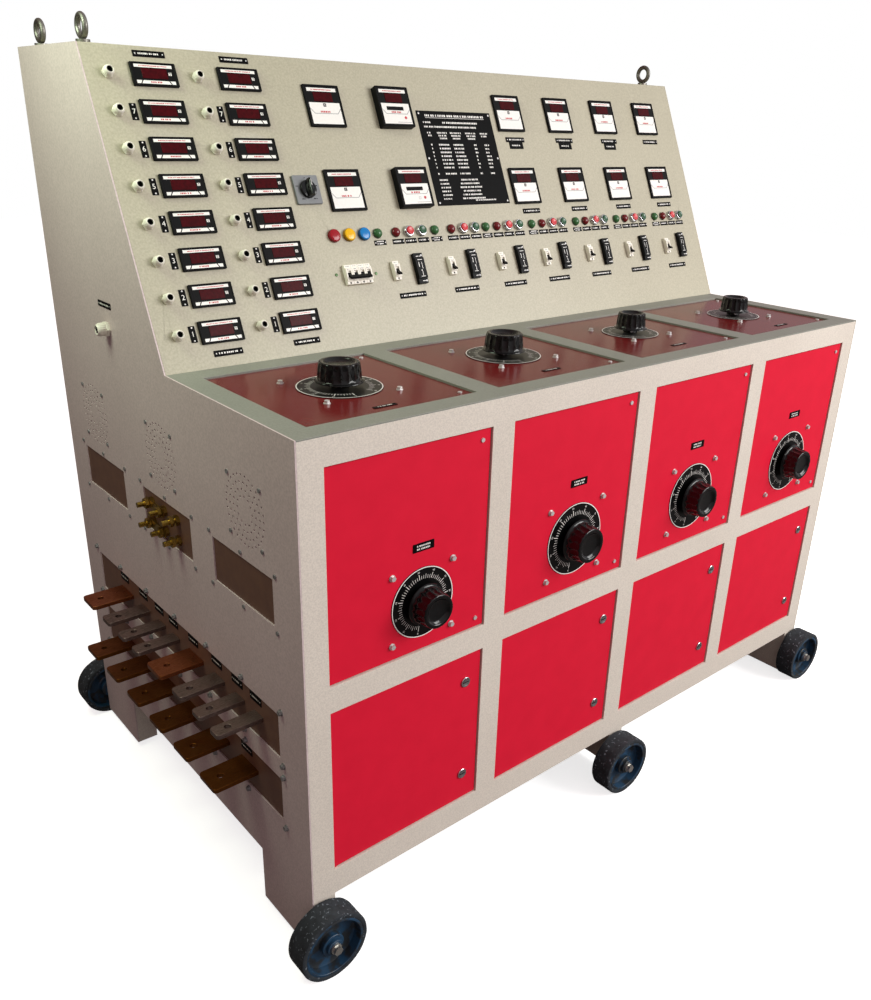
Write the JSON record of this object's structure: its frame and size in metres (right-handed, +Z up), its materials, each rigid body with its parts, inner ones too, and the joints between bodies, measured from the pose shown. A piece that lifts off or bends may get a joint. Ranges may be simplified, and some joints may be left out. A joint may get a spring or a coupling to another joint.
{
  "type": "variable transformer test bench",
  "caption": "Wheeled steel test console with a sloping meter panel, variable transformer dials on its desk and front, lockable doors and copper output bars on one side.",
  "frame": {"origin": "middle of the bounding box, on the floor under the wheels", "axes": "+X along the front to the right, +Y from the front to the back, +Z up"},
  "size_m": [1.993, 1.258, 1.8129],
  "materials": {
    "frame_paint": "fine texture powder coat",
    "desk_paint": "grey-green powder coat",
    "console_paint": "fine texture powder coat",
    "side_paint": "fine texture powder coat",
    "panel_red": "satin enamel",
    "desk_red": "gloss enamel",
    "dial_black": "gloss enamel with white marks",
    "winding": "lacquered copper winding",
    "base_metal": "as cast",
    "meter_black": "moulded",
    "gland_white": "moulded nylon",
    "lamp_lens": "translucent lens",
    "bezel_chrome": "polished",
    "breaker_cream": "moulded",
    "module_black": "moulded",
    "label_black": "engraved laminate",
    "board_brown": "paper laminate",
    "bar_copper": "rolled and dulled",
    "stud_brass": "turned",
    "fan_black": "moulded",
    "axle_steel": "turned",
    "zinc_screws": "bright zinc",
    "eye_steel": "forged",
    "core_iron": "varnished laminations",
    "knob_black": "moulded phenolic",
    "wheel_rubber": "worn tread",
    "lock_chrome": "polished",
    "toggle_black": "moulded",
    "cap_red": "moulded",
    "cap_green": "moulded"
  },
  "bodies": {
    "bench": {"front_frame": "frame_paint", "desk_frame": "desk_paint", "left_side": "side_paint", "right_side": "side_paint", "instrument_hood": "console_paint", "back_panel": "console_paint", "floor_pan": "console_paint", "legs": "console_paint", "lifting_eyes": "eye_steel", "upper_panels": "panel_red", "desk_plates": "desk_red", "dial_plates": "dial_black", "variac_coils": "winding", "variac_bases": "base_metal", "small_meters": "meter_black", "large_meters": "meter_black", "cable_glands": "gland_white", "indicator_lamps": "lamp_lens", "control_bezels": "bezel_chrome", "breaker_bodies": "breaker_cream", "timer_modules": "module_black", "label_plates": "label_black", "terminal_boards": "board_brown", "copper_bars": "bar_copper", "brass_studs": "stud_brass", "cooling_fans": "fan_black", "wheel_axles": "axle_steel", "fasteners": "zinc_screws", "loading_transformers": "core_iron"},
    "front_dial_1": {"rotor_front_1": "knob_black"},
    "front_dial_2": {"rotor_front_2": "knob_black"},
    "front_dial_3": {"rotor_front_3": "knob_black"},
    "front_dial_4": {"rotor_front_4": "knob_black"},
    "desk_dial_1": {"rotor_desk_1": "knob_black"},
    "desk_dial_2": {"rotor_desk_2": "knob_black"},
    "desk_dial_3": {"rotor_desk_3": "knob_black"},
    "desk_dial_4": {"rotor_desk_4": "knob_black"},
    "front_left_wheel": {"wheel_front_left": "wheel_rubber"},
    "front_middle_wheel": {"wheel_front_middle": "wheel_rubber"},
    "front_right_wheel": {"wheel_front_right": "wheel_rubber"},
    "back_left_wheel": {"wheel_back_left": "wheel_rubber"},
    "back_middle_wheel": {"wheel_back_middle": "wheel_rubber"},
    "back_right_wheel": {"wheel_back_right": "wheel_rubber"},
    "door_1": {"door_1": "panel_red"},
    "door_2": {"door_2": "panel_red"},
    "door_3": {"door_3": "panel_red"},
    "door_4": {"door_4": "panel_red"},
    "lock_1_upper": {"lock_1_upper": "lock_chrome"},
    "lock_1_lower": {"lock_1_lower": "lock_chrome"},
    "lock_2_upper": {"lock_2_upper": "lock_chrome"},
    "lock_2_lower": {"lock_2_lower": "lock_chrome"},
    "lock_3_upper": {"lock_3_upper": "lock_chrome"},
    "lock_3_lower": {"lock_3_lower": "lock_chrome"},
    "lock_4_upper": {"lock_4_upper": "lock_chrome"},
    "lock_4_lower": {"lock_4_lower": "lock_chrome"},
    "selector": {"selector_knob": "knob_black"},
    "main_switch": {"main_breaker_toggle": "toggle_black"},
    "circuit_switches": {"breaker_toggles": "toggle_black"},
    "stop_caps": {"stop_buttons": "cap_red"},
    "start_caps": {"start_buttons": "cap_green"}
  },
  "joints": [
    {"name": "front_dial_1_turn", "type": "hinge", "parent": "bench", "child": "front_dial_1", "pos_m": [-0.62225, -0.552, 0.765], "axis": [0, 1, 0], "range_deg": [0, 320]},
    {"name": "front_dial_2_turn", "type": "hinge", "parent": "bench", "child": "front_dial_2", "pos_m": [-0.18775, -0.552, 0.782], "axis": [0, 1, 0], "range_deg": [0, 320]},
    {"name": "front_dial_3_turn", "type": "hinge", "parent": "bench", "child": "front_dial_3", "pos_m": [0.24275, -0.552, 0.782], "axis": [0, 1, 0], "range_deg": [0, 320]},
    {"name": "front_dial_4_turn", "type": "hinge", "parent": "bench", "child": "front_dial_4", "pos_m": [0.68925, -0.552, 0.782], "axis": [0, 1, 0], "range_deg": [0, 320]},
    {"name": "desk_dial_1_turn", "type": "hinge", "parent": "bench", "child": "desk_dial_1", "pos_m": [-0.64825, -0.313, 1.149], "axis": [0, 0, -1], "range_deg": [0, 320]},
    {"name": "desk_dial_2_turn", "type": "hinge", "parent": "bench", "child": "desk_dial_2", "pos_m": [-0.19275, -0.297, 1.149], "axis": [0, 0, -1], "range_deg": [0, 320]},
    {"name": "desk_dial_3_turn", "type": "hinge", "parent": "bench", "child": "desk_dial_3", "pos_m": [0.25175, -0.299, 1.149], "axis": [0, 0, -1], "range_deg": [0, 320]},
    {"name": "desk_dial_4_turn", "type": "hinge", "parent": "bench", "child": "desk_dial_4", "pos_m": [0.69925, -0.306, 1.149], "axis": [0, 0, -1], "range_deg": [0, 320]},
    {"name": "front_left_wheel_spin", "type": "hinge", "parent": "bench", "child": "front_left_wheel", "pos_m": [-0.8845, -0.589, 0.079], "axis": [0, 1, 0], "continuous": true},
    {"name": "front_middle_wheel_spin", "type": "hinge", "parent": "bench", "child": "front_middle_wheel", "pos_m": [0.0335, -0.589, 0.079], "axis": [0, 1, 0], "continuous": true},
    {"name": "front_right_wheel_spin", "type": "hinge", "parent": "bench", "child": "front_right_wheel", "pos_m": [0.9175, -0.589, 0.079], "axis": [0, 1, 0], "continuous": true},
    {"name": "back_left_wheel_spin", "type": "hinge", "parent": "bench", "child": "back_left_wheel", "pos_m": [-0.8845, 0.589, 0.079], "axis": [0, 1, 0], "continuous": true},
    {"name": "back_middle_wheel_spin", "type": "hinge", "parent": "bench", "child": "back_middle_wheel", "pos_m": [0.0335, 0.589, 0.079], "axis": [0, 1, 0], "continuous": true},
    {"name": "back_right_wheel_spin", "type": "hinge", "parent": "bench", "child": "back_right_wheel", "pos_m": [0.9175, 0.589, 0.079], "axis": [0, 1, 0], "continuous": true},
    {"name": "door_1_swing", "type": "hinge", "parent": "bench", "child": "door_1", "pos_m": [-0.837, -0.548, 0.4075], "axis": [0, 0, -1], "range_deg": [0, 100]},
    {"name": "door_2_swing", "type": "hinge", "parent": "bench", "child": "door_2", "pos_m": [-0.3925, -0.548, 0.4075], "axis": [0, 0, -1], "range_deg": [0, 100]},
    {"name": "door_3_swing", "type": "hinge", "parent": "bench", "child": "door_3", "pos_m": [0.052, -0.548, 0.4075], "axis": [0, 0, -1], "range_deg": [0, 100]},
    {"name": "door_4_swing", "type": "hinge", "parent": "bench", "child": "door_4", "pos_m": [0.4965, -0.548, 0.4075], "axis": [0, 0, -1], "range_deg": [0, 100]},
    {"name": "lock_1_upper_turn", "type": "hinge", "parent": "door_1", "child": "lock_1_upper", "pos_m": [-0.5, -0.552, 0.529], "axis": [0, -1, 0], "range_deg": [0, 90]},
    {"name": "lock_1_lower_turn", "type": "hinge", "parent": "door_1", "child": "lock_1_lower", "pos_m": [-0.5, -0.552, 0.286], "axis": [0, -1, 0], "range_deg": [0, 90]},
    {"name": "lock_2_upper_turn", "type": "hinge", "parent": "door_2", "child": "lock_2_upper", "pos_m": [-0.0555, -0.552, 0.529], "axis": [0, -1, 0], "range_deg": [0, 90]},
    {"name": "lock_2_lower_turn", "type": "hinge", "parent": "door_2", "child": "lock_2_lower", "pos_m": [-0.0555, -0.552, 0.286], "axis": [0, -1, 0], "range_deg": [0, 90]},
    {"name": "lock_3_upper_turn", "type": "hinge", "parent": "door_3", "child": "lock_3_upper", "pos_m": [0.389, -0.552, 0.529], "axis": [0, -1, 0], "range_deg": [0, 90]},
    {"name": "lock_3_lower_turn", "type": "hinge", "parent": "door_3", "child": "lock_3_lower", "pos_m": [0.389, -0.552, 0.286], "axis": [0, -1, 0], "range_deg": [0, 90]},
    {"name": "lock_4_upper_turn", "type": "hinge", "parent": "door_4", "child": "lock_4_upper", "pos_m": [0.8335, -0.552, 0.529], "axis": [0, -1, 0], "range_deg": [0, 90]},
    {"name": "lock_4_lower_turn", "type": "hinge", "parent": "door_4", "child": "lock_4_lower", "pos_m": [0.8335, -0.552, 0.286], "axis": [0, -1, 0], "range_deg": [0, 90]},
    {"name": "selector_turn", "type": "hinge", "parent": "bench", "child": "selector", "pos_m": [-0.4655, 0.08264, 1.48198], "axis": [0, 0.9113, -0.4117], "range_deg": [-90, 90]},
    {"name": "main_switch_throw", "type": "hinge", "parent": "bench", "child": "main_switch", "pos_m": [-0.3875, -0.00526, 1.30442], "axis": [-1, 0, 0], "range_deg": [0, 80]},
    {"name": "circuit_switches_throw", "type": "hinge", "parent": "bench", "child": "circuit_switches", "pos_m": [0.2325, -0.00526, 1.30442], "axis": [-1, 0, 0], "range_deg": [0, 80]},
    {"name": "stop_caps_press", "type": "slide", "parent": "bench", "child": "stop_caps", "axis": [0, 0.9113, -0.4117], "range_m": [0, 0.004], "stiffness_N_per_m": 300, "springref_m": -0.004},
    {"name": "start_caps_press", "type": "slide", "parent": "bench", "child": "start_caps", "axis": [0, 0.9113, -0.4117], "range_m": [0, 0.004], "stiffness_N_per_m": 300, "springref_m": -0.004}
  ]
}
